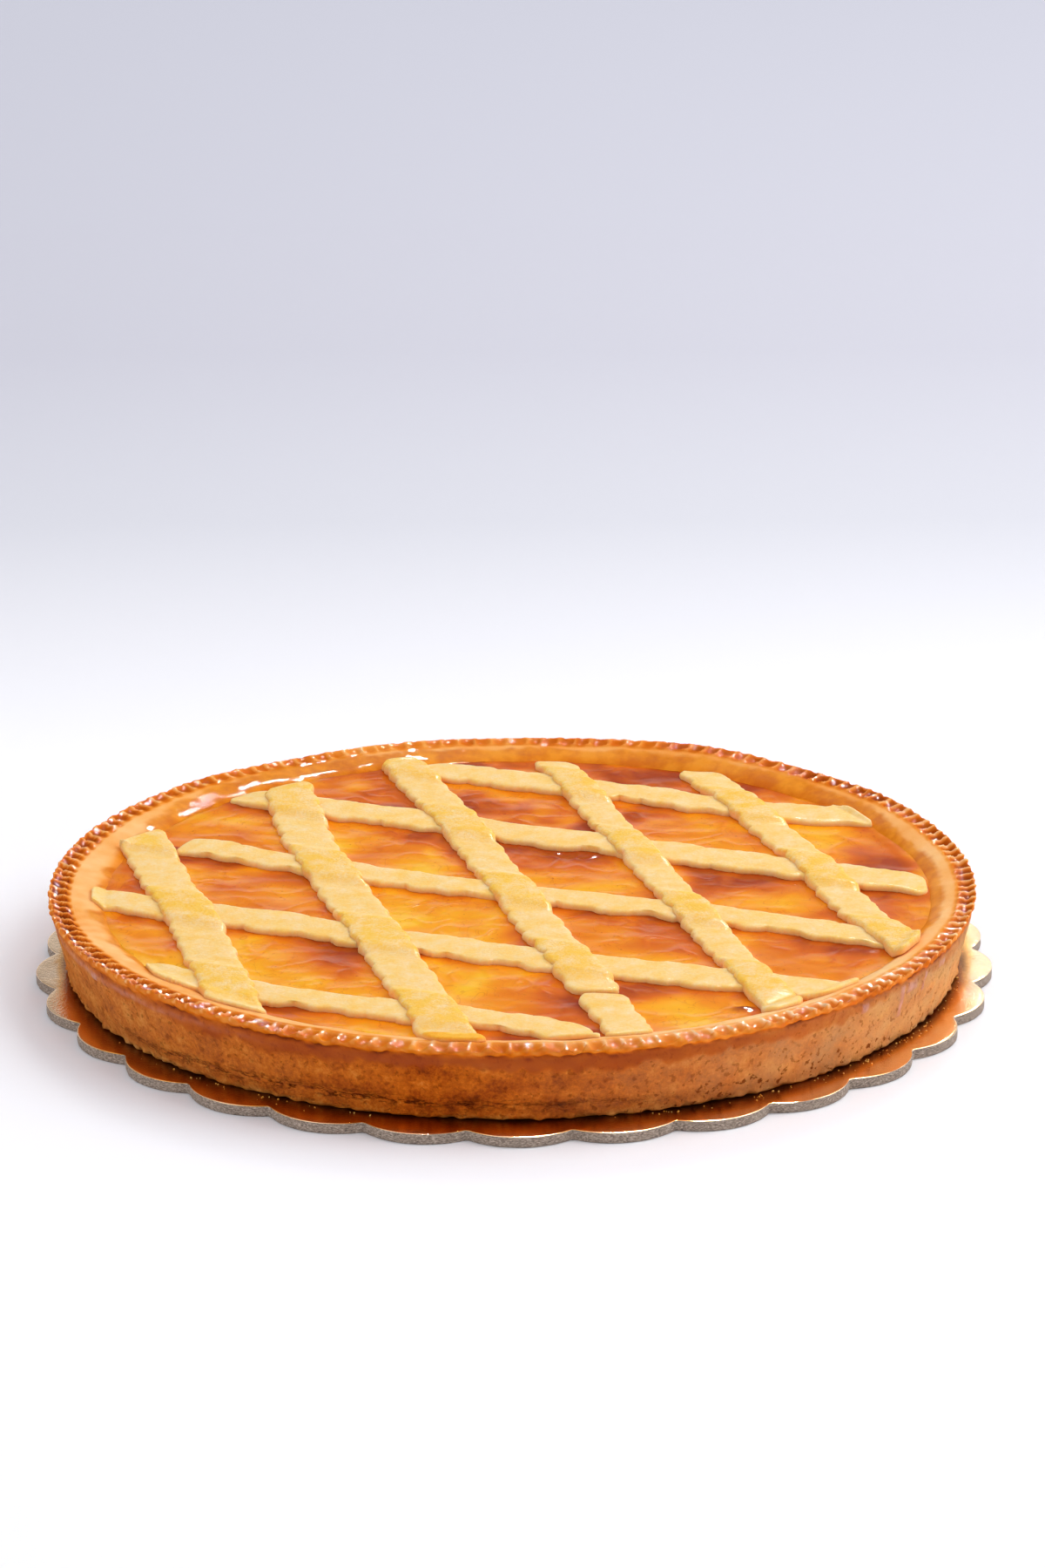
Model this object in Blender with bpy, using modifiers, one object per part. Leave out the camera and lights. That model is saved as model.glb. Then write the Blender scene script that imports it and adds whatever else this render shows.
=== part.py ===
"""An apricot crostata, 274 mm across its crimped rim, on the gold scalloped card that it is sold on.

Metres, +Z up. The origin is the middle of the card's underside, -Y is the front, and the tart sits a little off the
card's middle. The crust is one shell with the jam in its hollow, and the lattice lies on both: five strips run across
it, and five more, laid last, run from back to front and ride up over them. One of those has snapped near the front.
"""

import math

import bmesh
import bpy
from mathutils import Vector

MM = 0.001
GAP = 0.3 * MM  # left between two pieces that touch

# Cake card: 29 round scallops on a disc.
CARD_RADIUS = 140 * MM
CARD_NOTCH_DEPTH = 5.1 * MM
CARD_THICKNESS = 3.3 * MM
CARD_SCALLOPS = 29
CARD_NOTCH_ANGLE = math.radians(189.5)
SCALLOP_SIDES = 5

# Crust: a round shell baked in a tapered tin, crimped along the top of its rim.
TART_CENTRE = Vector((-1.4 * MM, 3.3 * MM))
TART_FOOT = CARD_THICKNESS + GAP
FOOT_RADIUS = 130.4 * MM
FOOT_EDGE = 0.9 * MM  # the rounding where the wall meets the base
RIM_RADIUS = 137 * MM
RIM_TOP = 26.7 * MM
LIP_DEPTH = 3 * MM  # the rim stands out over the wall down to here
CRIMP_BAND = 6 * MM  # width of the crimped band
BASE_THICKNESS = 6 * MM
RIDGES = 159

# Filling: jam up to a round line on the shell's inner slope, a little off its middle.
JAM_TOP = 22.5 * MM
JAM_RADIUS = 121.4 * MM
JAM_FOOT_RADIUS = 117 * MM
JAM_SHIFT = Vector((1.4 * MM, 0.4 * MM))
JAM_SIDES = 90

# The baked rim rises and sinks: the middle of each swell in degrees, its half width and its height.
RIM_SWELLS = ((63, 11, 1.2), (120, 10, -0.9), (92, 14, -0.6), (33, 8, 0.7), (222, 16, 0.6), (270, 16, 0.5))

# Lattice strips, cut with a fluted wheel.
STRIP_THICKNESS = 1.7 * MM
STRIP_SHOULDER = 0.8 * MM  # the top is narrower than the foot by this on each side
PRESSED_THICKNESS = 1.1 * MM  # at the ends, which are pressed onto the shell
PRESSED_LENGTH = 9 * MM
FLUTE_PITCH = 9.6 * MM
FLUTE_DEPTH = 0.8 * MM  # from the mean edge out to a tooth's tip
FLUTE_SECTIONS = 4  # to each tooth
RAMP_CLEAR = 1.3 * MM  # an upper strip is at its full lift this far beyond a lower strip's edge
RAMP_LENGTH = 5.5 * MM  # and back on the jam this much further out
END_LENGTH = 16 * MM  # over which a strip's sections turn to follow the wall
LARGEST_SKEW = 0.9

# Each strip's start and end from the tart's middle, how far its line bows to the left of the straight way at a
# quarter, a half and three quarters of it, and its width, in mm.
LOWER_STRIPS = {
    "strip_lower_1": ((-31, 115.5), (107, 64), (-0.5, -0.5, -3), 11.5),
    "strip_lower_2": ((-83.5, 88), (122.5, 3), (-1, 0, 0), 12),
    "strip_lower_3": ((-99.5, 43), (110, -43.5), (-3, -2, 2), 10.5),
    "strip_lower_4": ((-124, -4), (94.5, -85.5), (0.5, -2.5, -1.5), 13),
    "strip_lower_5": ((-103.5, -66.5), (23, -119.4), (-2.5, -1, 1), 11),
}
UPPER_STRIPS = {
    "strip_upper_1": ((-112.5, 48), (-77.5, -100), (0.5, 2, 1.5), 14),
    "strip_upper_2": ((-70, 94.5), (-15.5, -126), (-3.5, -2, -0.5), 14),
    "strip_upper_3": ((-35, 118), (23.5, -83.5), (1.5, 1, 0), 12.5),
    "strip_upper_4": ((12.5, 119.5), (77, -102.5), (0, 0, -0.5), 10.5),
    "strip_upper_5": ((58.5, 108), (114.5, -54), (1, 1.5, -1), 11.5),
}
# The piece that snapped off one of them, the slope of the break across both, and the strip that ends at its side.
SNAPPED_STRIP = "strip_upper_3"
BUTTING_STRIP = "strip_lower_5"
BROKEN_END = ((25, -88), (33, -124), (0, 0.5, 0.5), 12.5)
BREAK_SLOPE = 0.28

# Colours as linear red, green and blue, with roughness and metallic value.
CRUST_LOOK = ((0.45, 0.17, 0.045), 0.45, 0)
JAM_LOOK = ((0.72, 0.22, 0.02), 0.12, 0)
STRIP_LOOK = ((0.8, 0.52, 0.2), 0.4, 0)
CARD_LOOK = ((0.75, 0.5, 0.25), 0.3, 1)


def clear_scene():
    for old in list(bpy.data.objects):
        bpy.data.objects.remove(old, do_unlink=True)


def new_collection(name):
    made = bpy.data.collections.new(name)
    bpy.context.scene.collection.children.link(made)
    return made


def new_material(name, look):
    colour, roughness, metallic = look
    made = bpy.data.materials.new(name)
    made.use_nodes = True
    shader = made.node_tree.nodes["Principled BSDF"]
    shader.inputs["Base Color"].default_value = (*colour, 1)
    shader.inputs["Roughness"].default_value = roughness
    shader.inputs["Metallic"].default_value = metallic
    return made


def new_object(name, data, parts, material):
    made = bpy.data.objects.new(name, data)
    parts.objects.link(made)
    made.data.materials.append(material)
    return made


def on_circle(radius, angle):
    return Vector((radius * math.cos(angle), radius * math.sin(angle)))


def ease(share):
    """0 up to 0, 1 from 1 on, and a smooth step between."""
    share = min(max(share, 0), 1)
    return share * share * (3 - 2 * share)


# --- cake card ---


def scallop_outline():
    """Points round the card, each scallop an arc that bulges between two notches."""
    points = []
    turn = 2 * math.pi / CARD_SCALLOPS
    notch_radius = CARD_RADIUS - CARD_NOTCH_DEPTH
    half_chord = notch_radius * math.sin(turn / 2)
    bulge = CARD_RADIUS - notch_radius * math.cos(turn / 2)
    arc_radius = (half_chord**2 + bulge**2) / (2 * bulge)
    spread = math.asin(half_chord / arc_radius)
    for scallop in range(CARD_SCALLOPS):
        middle = CARD_NOTCH_ANGLE + (scallop + 0.5) * turn
        for side in range(SCALLOP_SIDES):
            swing = spread * (2 * side / SCALLOP_SIDES - 1)
            points.append(on_circle(CARD_RADIUS - arc_radius, middle) + on_circle(arc_radius, middle + swing))
    return points


def make_card(parts):
    curve = bpy.data.curves.new("cake_card", "CURVE")
    curve.dimensions = "2D"
    curve.fill_mode = "BOTH"
    curve.extrude = CARD_THICKNESS / 2
    outline = scallop_outline()
    spline = curve.splines.new("POLY")
    spline.points.add(len(outline) - 1)
    for point, place in zip(spline.points, outline):
        point.co = (place.x, place.y, 0, 1)
    spline.use_cyclic_u = True
    card = new_object("cake_card", curve, parts, new_material("gold_foil_card", CARD_LOOK))
    card.location.z = CARD_THICKNESS / 2


# --- crust shell and jam ---


def turned(name, profile, steps, parts, material):
    """A profile turned round the Z axis at the tart's middle, as a plain mesh."""
    mesh = bpy.data.meshes.new(name)
    edges = [(i, i + 1) for i in range(len(profile) - 1)]
    mesh.from_pydata([(radius, 0, height) for radius, height in profile], edges, [])
    guide = bpy.data.objects.new(name + "_profile", mesh)
    parts.objects.link(guide)
    screw = guide.modifiers.new("Screw", "SCREW")
    screw.steps = steps
    screw.render_steps = steps
    screw.use_merge_vertices = True
    screw.merge_threshold = 0.01 * MM
    solid = bpy.data.meshes.new_from_object(guide.evaluated_get(bpy.context.evaluated_depsgraph_get()))
    bpy.data.objects.remove(guide, do_unlink=True)
    made = new_object(name, solid, parts, material)
    made.location = (*TART_CENTRE, 0)
    solid.shade_smooth()
    solid.set_sharp_from_angle(angle=math.radians(35))
    return made


def crust_rings():
    """The shell's rings from the hollow's floor over the rim to its foot.

    Each is its radius, its height, how far out and how far up the crimping moves its pits and its ridges, and how
    much of the rim's swell and of the jam's shift it takes.
    """
    band_inside = RIM_RADIUS - CRIMP_BAND
    floor = TART_FOOT + BASE_THICKNESS
    return (
        (0, floor, (0, 0), (0, 0), 0, 1),
        (JAM_FOOT_RADIUS, floor, (0, 0), (0, 0), 0, 1),
        (JAM_RADIUS, JAM_TOP, (0, 0), (0, 0), 0, 1),
        (band_inside - 5 * MM, RIM_TOP - 1.9 * MM, (0, 0), (0, 0), 0.6, 0.4),
        (band_inside, RIM_TOP - 0.7 * MM, (0, 0), (-0.2 * MM, 0.1 * MM), 1, 0),
        (RIM_RADIUS - 3.2 * MM, RIM_TOP - 0.3 * MM, (0, 0), (-1.2 * MM, 0.3 * MM), 1, 0),
        (RIM_RADIUS - 0.9 * MM, RIM_TOP - 0.1 * MM, (-0.2 * MM, 0.1 * MM), (-0.4 * MM, 0.1 * MM), 1, 0),
        (RIM_RADIUS, RIM_TOP - 1.2 * MM, (-0.3 * MM, 0.2 * MM), (0, 0), 1, 0),
        (RIM_RADIUS - 0.5 * MM, RIM_TOP - LIP_DEPTH, (-0.1 * MM, 0.1 * MM), (0, 0), 0.7, 0),
        (FOOT_RADIUS + FOOT_EDGE, TART_FOOT + FOOT_EDGE, (0, 0), (0, 0), 0, 0),
        (FOOT_RADIUS, TART_FOOT, (0, 0), (0, 0), 0, 0),
        (0, TART_FOOT, (0, 0), (0, 0), 0, 0),
    )


def rim_swell(angle):
    """How far the rim stands above its mean height at an angle."""
    height = 0
    for middle, spread, peak in RIM_SWELLS:
        away = (math.degrees(angle) - middle + 180) % 360 - 180
        height += peak * MM * math.exp(-((away / spread) ** 2))
    return height


def make_crust(parts):
    rings = crust_rings()
    profile = [(ring[0], ring[1]) for ring in rings]
    crust = turned("crust_shell", profile, 2 * RIDGES, parts, new_material("baked_crust", CRUST_LOOK))
    for vertex in crust.data.vertices:
        flat = vertex.co.to_2d()
        spot = Vector((flat.length, vertex.co.z))
        ring = min(rings, key=lambda one: (Vector(one[:2]) - spot).length)
        angle = math.atan2(flat.y, flat.x)
        is_ridge = math.cos(RIDGES * angle) > 0
        flat = flat + on_circle(ring[2][is_ridge], angle) + JAM_SHIFT * ring[5]
        height = vertex.co.z + ring[3][is_ridge] + rim_swell(angle) * ring[4]
        vertex.co = (*flat, height)


def make_jam(parts):
    floor = TART_FOOT + BASE_THICKNESS + GAP
    slope = (JAM_RADIUS - JAM_FOOT_RADIUS) / (JAM_TOP - TART_FOOT - BASE_THICKNESS)
    foot_radius = JAM_FOOT_RADIUS + slope * GAP - 1.5 * GAP
    profile = ((0, JAM_TOP), (JAM_RADIUS - 1.5 * GAP, JAM_TOP), (foot_radius, floor), (0, floor))
    jam = turned("apricot_jam", profile, JAM_SIDES, parts, new_material("apricot_jam", JAM_LOOK))
    for vertex in jam.data.vertices:
        vertex.co.xy += JAM_SHIFT


# --- lattice ---


class StripLine:
    """The middle line of a strip, from its start (0) to its end (1)."""

    def __init__(self, layout):
        start, end, bows, width = layout
        self.start = Vector(start) * MM
        self.run = Vector(end) * MM - self.start
        self.left = Vector((-self.run.y, self.run.x)).normalized()
        self.bows = [-bows[0], 0, *bows, 0, -bows[2]]
        self.half_width = width * MM / 2

    def bow(self, share):
        """A smooth curve through the bows, which are a quarter of the way apart."""
        quarter = min(max(int(share * 4), 0), 3)
        u = share * 4 - quarter
        a, b, c, d = self.bows[quarter : quarter + 4]
        square, cube = 2 * a - 5 * b + 4 * c - d, 3 * b - a - 3 * c + d
        return 0.5 * MM * (2 * b + (c - a) * u + square * u**2 + cube * u**3)

    def at(self, share):
        return self.start + self.run * share + self.left * self.bow(share)

    def heading(self, share):
        return (self.at(share + 0.01) - self.at(share - 0.01)).normalized()

    def end_share(self, share, length):
        """1 at the start or the end, 0 from that length in from it."""
        return ease(1 - share * self.run.length / length), ease(1 - (1 - share) * self.run.length / length)

    def away(self, point):
        """How far a point is from the line, which is shallow enough to measure square to its run."""
        share = (point - self.start).dot(self.run) / self.run.length_squared
        beyond = max(-share, share - 1, 0) * self.run.length - self.half_width / 2
        across = (point - self.start).dot(self.left) - self.bow(share)
        return math.hypot(across, max(beyond, 0))


def bed_height(point):
    """The top of what the lattice lies on: the jam, then the shell's slope up to its crimped band."""
    angle = math.atan2(point.y, point.x)
    inner, slope, band = (
        ((on_circle(ring[0], angle) + JAM_SHIFT * ring[5]).length, ring[1] + rim_swell(angle) * ring[4])
        for ring in crust_rings()[2:5]
    )
    if point.length <= inner[0]:
        return JAM_TOP
    low, high = (inner, slope) if point.length < slope[0] else (slope, band)
    return low[1] + (high[1] - low[1]) * (point.length - low[0]) / (high[0] - low[0])


def lift(points, crossed):
    """How far a section of an upper strip is lifted by the lower strips that it crosses."""
    highest = 0
    for line in crossed:
        nearest = min(line.away(point) for point in points)
        highest = max(highest, ease((line.half_width + RAMP_CLEAR + RAMP_LENGTH - nearest) / RAMP_LENGTH))
    return highest * (STRIP_THICKNESS + 1.5 * GAP)


def skew_along(heading, direction):
    """How far along a strip a section is set for each unit across, for it to lie in a direction."""
    left = Vector((-heading.y, heading.x))
    skew = direction.dot(heading) / direction.dot(left)
    return min(max(skew, -LARGEST_SKEW), LARGEST_SKEW)


def wall_skew(line, share):
    point = line.at(share)
    return skew_along(line.heading(share), Vector((-point.y, point.x)))


def make_strip(name, line, crossed, skews, ends_pressed, parts, material):
    """A fluted strip: a flat grid given its thickness, then laid along its line and over what is under it.

    skews holds those of the sections at its start, along it and at its end.
    """
    sections = FLUTE_SECTIONS * round(line.run.length / FLUTE_PITCH)
    bm = bmesh.new()
    bmesh.ops.create_grid(bm, x_segments=sections, y_segments=1, size=0.5)
    raised = bmesh.ops.extrude_face_region(bm, geom=bm.faces[:])["geom"]
    bmesh.ops.translate(bm, verts=[one for one in raised if isinstance(one, bmesh.types.BMVert)], vec=(0, 0, 1))
    for vertex in bm.verts:
        share = vertex.co.x + 0.5
        is_top = vertex.co.z > 0.5
        tooth = abs(math.sin(math.pi * share * sections / FLUTE_SECTIONS))
        half = line.half_width + FLUTE_DEPTH * (2 * tooth - 1.2) - STRIP_SHOULDER * is_top
        turns = line.end_share(share, END_LENGTH)
        skew = skews[1] + (skews[0] - skews[1]) * turns[0] + (skews[2] - skews[1]) * turns[1]
        heading = line.heading(share)
        reach = (Vector((-heading.y, heading.x)) + heading * skew) * half
        middle = line.at(share)
        point = middle + reach * math.copysign(1, vertex.co.y)
        near_ends = line.end_share(share, PRESSED_LENGTH)
        pressed = max(near * is_pressed for near, is_pressed in zip(near_ends, ends_pressed))
        thickness = STRIP_THICKNESS + (PRESSED_THICKNESS - STRIP_THICKNESS) * pressed
        lifted = lift((middle - reach, middle, middle + reach), crossed)
        vertex.co = (*point, bed_height(point) + GAP + lifted + thickness * is_top)
    bm.normal_update()
    bmesh.ops.recalc_face_normals(bm, faces=bm.faces[:])
    mesh = bpy.data.meshes.new(name)
    bm.to_mesh(mesh)
    bm.free()
    strip = new_object(name, mesh, parts, material)
    strip.location = (*TART_CENTRE, 0)


def make_lattice(parts):
    material = new_material("pale_lattice", STRIP_LOOK)
    lower = {name: StripLine(layout) for name, layout in LOWER_STRIPS.items()}
    upper = {name: StripLine(layout) for name, layout in UPPER_STRIPS.items()}
    broken = StripLine(BROKEN_END)
    for name, line in lower.items():
        end_skew = skew_along(line.heading(1), broken.run) if name == BUTTING_STRIP else wall_skew(line, 1)
        make_strip(name, line, [], (wall_skew(line, 0), 0, end_skew), (True, True), parts, material)
    lower_run = lower["strip_lower_3"].run
    for name, line in upper.items():
        is_snapped = name == SNAPPED_STRIP
        end_skew = BREAK_SLOPE if is_snapped else wall_skew(line, 1)
        skews = (wall_skew(line, 0), skew_along(line.heading(0.5), lower_run), end_skew)
        make_strip(name, line, list(lower.values()), skews, (True, not is_snapped), parts, material)
    skews = (BREAK_SLOPE, 0, wall_skew(broken, 1))
    make_strip("strip_broken_end", broken, [], skews, (False, True), parts, material)


def main():
    clear_scene()
    parts = new_collection("apricot_crostata")
    make_card(parts)
    make_crust(parts)
    make_jam(parts)
    make_lattice(parts)


main()
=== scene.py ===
"""The looks of an apricot crostata on its gold card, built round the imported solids.

Metres, +Z up, in the solids' own frame: the origin is the middle of the card's underside and -Y is the front. Sizes
below are in mm, and the tart's own pieces are worked out from the tart's middle.
"""

import math
import random

import bpy
import numpy as np
from mathutils import Euler, Matrix, noise


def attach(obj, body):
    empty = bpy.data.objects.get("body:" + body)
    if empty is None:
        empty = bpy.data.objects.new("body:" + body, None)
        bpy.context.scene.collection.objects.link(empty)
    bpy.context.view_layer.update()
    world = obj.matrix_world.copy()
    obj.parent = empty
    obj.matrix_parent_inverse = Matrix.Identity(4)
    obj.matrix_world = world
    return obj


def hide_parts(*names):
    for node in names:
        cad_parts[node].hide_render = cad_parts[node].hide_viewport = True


MM = 0.001

# Cake card: 29 round scallops on a disc.
CARD_RADIUS = 140
CARD_NOTCH_DEPTH = 5.1
CARD_THICKNESS = 3.3
CARD_SCALLOPS = 29
CARD_NOTCH_ANGLE = math.radians(189.5)

# Crust and filling.
TART_CENTRE = (-1.4, 3.3)
RIM_TOP = 26.7
RIDGES = 159
JAM_TOP = 22.5
JAM_RADIUS = 121.4
JAM_SHIFT = (1.4, 0.4)
# Where the rim stands higher or lower: angle and spread in degrees, and by how much.
RIM_SWELLS = ((63, 11, 1.2), (120, 10, -0.9), (92, 14, -0.6), (33, 8, 0.7), (222, 16, 0.6), (270, 16, 0.5))
# The wall's foot, the crimped band's inner edge and middle, how far a degree reaches there, and columns to a crimp.
FOOT_RADIUS = 130.5
BAND_INNER = 131
BAND_MIDDLE = 134
MM_PER_DEGREE = math.radians(BAND_MIDDLE)
COLUMNS_PER_CRIMP = 8

# Lattice strips.
GAP = 0.3
STRIP_THICKNESS = 1.7
PRESSED_THICKNESS = 1.1
PRESSED_LENGTH = 9
FLUTE_PITCH = 9.6
FLUTE_DEPTH = 0.8
RAMP_CLEAR = 1.3
RAMP_LENGTH = 7
END_LENGTH = 16
LARGEST_SKEW = 0.9
BREAK_SLOPE = 0.28
LIFT_SHARE = 0.66
RIM_LAP = 129
STRIP_STEP = 0.55
# Each strip's start and end, how far it bows at its three quarters, and its width.
LOWER_STRIPS = {
    "strip_lower_1": ((-31, 115), (107, 63.5), (-1, -1.5, -3.5), 13.2),
    "strip_lower_2": ((-83.5, 88), (122.5, 3), (-1, -0.5, -0.5), 14),
    "strip_lower_3": ((-99.5, 42.5), (110, -44), (-3.5, -2.5, 1.5), 12.6),
    "strip_lower_4": ((-124, -4.5), (94.5, -86), (-1, -4, -2.5), 14.2),
    "strip_lower_5": ((-103.5, -67), (23, -119.4), (-3, -2, 0.5), 12.6),
}
UPPER_STRIPS = {
    "strip_upper_1": ((-112.5, 48), (-77.5, -100), (0.5, 2, 1.5), 15),
    "strip_upper_2": ((-70, 94.5), (-15, -131), (-3.5, -2, -0.5), 15.2),
    "strip_upper_3": ((-35, 118), (23.9, -84.8), (1.5, 1, 0), 13.3),
    "strip_upper_4": ((12.5, 119.5), (77, -102.5), (0, 0, -0.5), 11.4),
    "strip_upper_5": ((58.5, 108), (114.5, -54), (1, 1.5, -1), 12.1),
}
SNAPPED_STRIP = "strip_upper_3"
BUTTING_STRIP = "strip_lower_5"
BROKEN_END = ((24.8, -87.4), (33, -124), (0, 0.5, 0.5), 13.3)

# Floor: its side and its middle in metres.
FLOOR_SIDE = 9
FLOOR_MIDDLE = (0, 2, 0)

# Camera: its place in metres, its tilt in degrees and roll in radians, and its lens and sensor in mm.
CAMERA_PLACE = (0.0017, -1.6916, 0.6324)
CAMERA_TILT = 18.755
CAMERA_ROLL = -0.005414
CAMERA_LENS = 140
SENSOR_WIDTH = 36


# --- small tools ---


def ease(share):
    """0 up to 0, 1 from 1 on, and a smooth step between."""
    share = np.clip(share, 0, 1)
    return share * share * (3 - 2 * share)


def drift(places, size, seed):
    """Smooth random values, about -0.7 to 0.7, that change over a size in mm."""
    moved = places / size + np.array((31.7, 17.3, 5.9)) * (seed + 1)
    return np.array([noise.noise(place) for place in moved.tolist()])


def linear(hex_colour):
    """An sRGB hex colour as linear red, green, blue and a full alpha."""
    shares = [int(hex_colour[i : i + 2], 16) / 255 for i in (1, 3, 5)]
    return (*(s / 12.92 if s <= 0.04045 else ((s + 0.055) / 1.055) ** 2.4 for s in shares), 1)


def plug(tree, node, sockets):
    """Links a node's sockets to what feeds them, or sets them to a value."""
    for name, value in sockets.items():
        if isinstance(value, bpy.types.NodeSocket):
            tree.links.new(value, node.inputs[name])
        else:
            node.inputs[name].default_value = value


def add_node(tree, kind, sockets=None, stops=None, **settings):
    """Adds a shader node, with its settings, its sockets' values or links, and a colour ramp's stops."""
    made = tree.nodes.new("ShaderNode" + kind)
    for name, value in settings.items():
        setattr(made, name, value)
    if stops:
        ramp = made.color_ramp
        while len(ramp.elements) < len(stops):
            ramp.elements.new(0.5)
        for element, (position, colour) in zip(ramp.elements, stops):
            element.position = position
            element.color = linear(colour)
    plug(tree, made, sockets or {})
    return made


def reading(tree, name):
    """The value that a mesh carries under a name."""
    return add_node(tree, "Attribute", attribute_name=name).outputs["Fac"]


def grained(tree, place, size, **sockets):
    """A noise whose grains are about a size in mm."""
    return add_node(tree, "TexNoise", {"Vector": place, "Scale": 1 / size, **sockets}).outputs[0]


def coloured(tree, value, *stops):
    """A value's colour on a ramp, whose stops are a value and a colour each."""
    return add_node(tree, "ValToRGB", {"Fac": value}, stops=stops).outputs[0]


def bumped(tree, height, distance, strength):
    """The normals of a fine relief."""
    return add_node(tree, "Bump", {"Height": height, "Distance": distance, "Strength": strength}).outputs[0]


def ranged(tree, value, low, high, new_low, new_high):
    """A value whose range from low to high is stretched to a new one."""
    sockets = {"Value": value, "From Min": low, "From Max": high, "To Min": new_low, "To Max": new_high}
    return add_node(tree, "MapRange", sockets).outputs[0]


def mixed(tree, share, under, over):
    """A colour with a share of another over it."""
    over = linear(over) if isinstance(over, str) else over
    return add_node(tree, "Mix", {0: share, 6: under, 7: over}, data_type="RGBA").outputs[2]


def reckoned(tree, operation, *values):
    """What a maths node makes of its values."""
    return add_node(tree, "Math", dict(enumerate(values)), operation=operation).outputs[0]


def new_material(name):
    """A material with nothing but its shader and output, and its places in mm."""
    made = bpy.data.materials.new(name)
    made.use_nodes = True
    tree = made.node_tree
    shader = tree.nodes["Principled BSDF"]
    where = add_node(tree, "TexCoord").outputs["Object"]
    place = add_node(tree, "Mapping", {"Vector": where, "Scale": (1000, 1000, 1000)}).outputs[0]
    return made, tree, shader, place


def read_points(piece):
    points = np.empty(len(piece.data.vertices) * 3)
    piece.data.vertices.foreach_get("co", points)
    return points.reshape(-1, 3)


def shaped_sheet(name, columns, rows, shape):
    """A flat grid whose points are moved into a closed shape in mm, with the edges that meet merged.

    shape takes the points' shares along the columns and the rows, and gives their places and their named values.
    """
    bpy.ops.object.select_all(action="DESELECT")
    bpy.ops.mesh.primitive_grid_add(x_subdivisions=columns, y_subdivisions=rows, size=1)
    piece = bpy.context.object
    piece.name = piece.data.name = name
    flat = read_points(piece)
    places, values = shape(flat[:, 0] + 0.5, flat[:, 1] + 0.5)
    piece.data.vertices.foreach_set("co", (places * MM).ravel())
    for value_name, numbers in values.items():
        kept = piece.data.attributes.new(value_name, "FLOAT", "POINT")
        kept.data.foreach_set("value", np.clip(numbers, 0, 1).astype(np.float32))
    bpy.ops.object.mode_set(mode="EDIT")
    bpy.ops.mesh.select_all(action="SELECT")
    bpy.ops.mesh.remove_doubles(threshold=0.000002)
    bpy.ops.mesh.select_all(action="SELECT")
    bpy.ops.mesh.fill_holes(sides=0)
    bpy.ops.mesh.select_all(action="SELECT")
    bpy.ops.mesh.normals_make_consistent(inside=False)
    bpy.ops.object.mode_set(mode="OBJECT")
    bpy.ops.object.shade_smooth()
    return piece


def finish_piece(piece, material, slot, *nodes):
    if not piece.data.materials:
        piece.data.materials.append(material)
    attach(piece, "root")
    if nodes:
        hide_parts(*nodes)


def around(radius, angle, height=0):
    """Places at a radius, an angle and a height."""
    return np.stack((radius * np.cos(angle), radius * np.sin(angle), height + 0 * angle), 1)


def degrees_from(angle, middle):
    """How many degrees an angle lies past a middle one, from -180 to 180."""
    return (np.degrees(angle) - middle + 180) % 360 - 180


def rim_swell(angle):
    """How far the rim stands above its mean height at an angle."""
    height = 0
    for middle, spread, peak in RIM_SWELLS:
        away = degrees_from(angle, middle)
        height = height + peak * np.exp(-((away / spread) ** 2))
    return height


def near_angle(angle, middle, spread):
    """1 at an angle in degrees, falling smoothly to 0 at the spread on either side."""
    return 1 - ease(np.abs(degrees_from(angle, middle)) / spread)


# --- cake card ---


# The card's rows of points, from the middle of its top over the cut edge to the middle of its underside: how far in
# from the outline each one lies, and its height.
CARD_ROWS = (
    *((inset, CARD_THICKNESS) for inset in (140, 40, 14, 11, 8, 5.5, 3, 1)),
    *((0.3, 3.28), (0.14, 3.25), (0.05, 3.19), (0, 3.1), (0, 2.3), (0, 1.6), (0, 1)),
    *((0.05, 0.5), (0.2, 0.12), (0.5, 0), (140, 0)),
)
COLUMNS_PER_SCALLOP = 24
# The film is laid over the card's edge down to this height, and the board shows below it.
FILM_EDGE = 3.08


def card_outline(angle):
    """The card's radius at an angle: each scallop is an arc that bulges between two notches."""
    turn = 2 * math.pi / CARD_SCALLOPS
    notch_radius = CARD_RADIUS - CARD_NOTCH_DEPTH
    half_chord = notch_radius * math.sin(turn / 2)
    bulge = CARD_RADIUS - notch_radius * math.cos(turn / 2)
    arc_radius = (half_chord**2 + bulge**2) / (2 * bulge)
    away = (angle - CARD_NOTCH_ANGLE) % turn - turn / 2
    middle = CARD_RADIUS - arc_radius
    arc = middle * np.cos(away) + np.sqrt(arc_radius**2 - (middle * np.sin(away)) ** 2)
    # The left side of the card is bent out a little.
    return arc + 2.2 * near_angle(angle, 180, 38)


def card_shape(along, across):
    angle = 2 * math.pi * along
    outline = card_outline(angle)
    row = np.rint(across * (len(CARD_ROWS) - 1)).astype(int)
    inset, height = np.array(CARD_ROWS)[row].T
    radius = np.maximum(outline - inset, 0)
    places = around(radius, angle, height)
    is_side = (height < 3) & (height > 0.1) & (inset < 1)
    places[:, :2] *= (1 + is_side * 0.0012 * drift(places, 1.3, 3))[:, None]
    is_top = (height > 3.2) & (inset < 60)
    places[:, 2] += is_top * (0.1 * drift(places, 22, 4) + 0.04 * drift(places, 6, 5))
    places[:, 2] = np.maximum(places[:, 2], 0)
    from_tart = np.hypot(places[:, 0] - TART_CENTRE[0], places[:, 1] - TART_CENTRE[1]) - FOOT_RADIUS
    # Painted reflection and shade: the foil is darkened near the wall's foot, standing in for the wall's dark image in
    # it and the shadow there, wide in front and narrow on the right.
    reach = 12 - 6.5 * near_angle(angle, -15, 70) - 7.5 * near_angle(angle, 182, 36)
    return places, {"shade": 1 - from_tart / reach}


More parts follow.
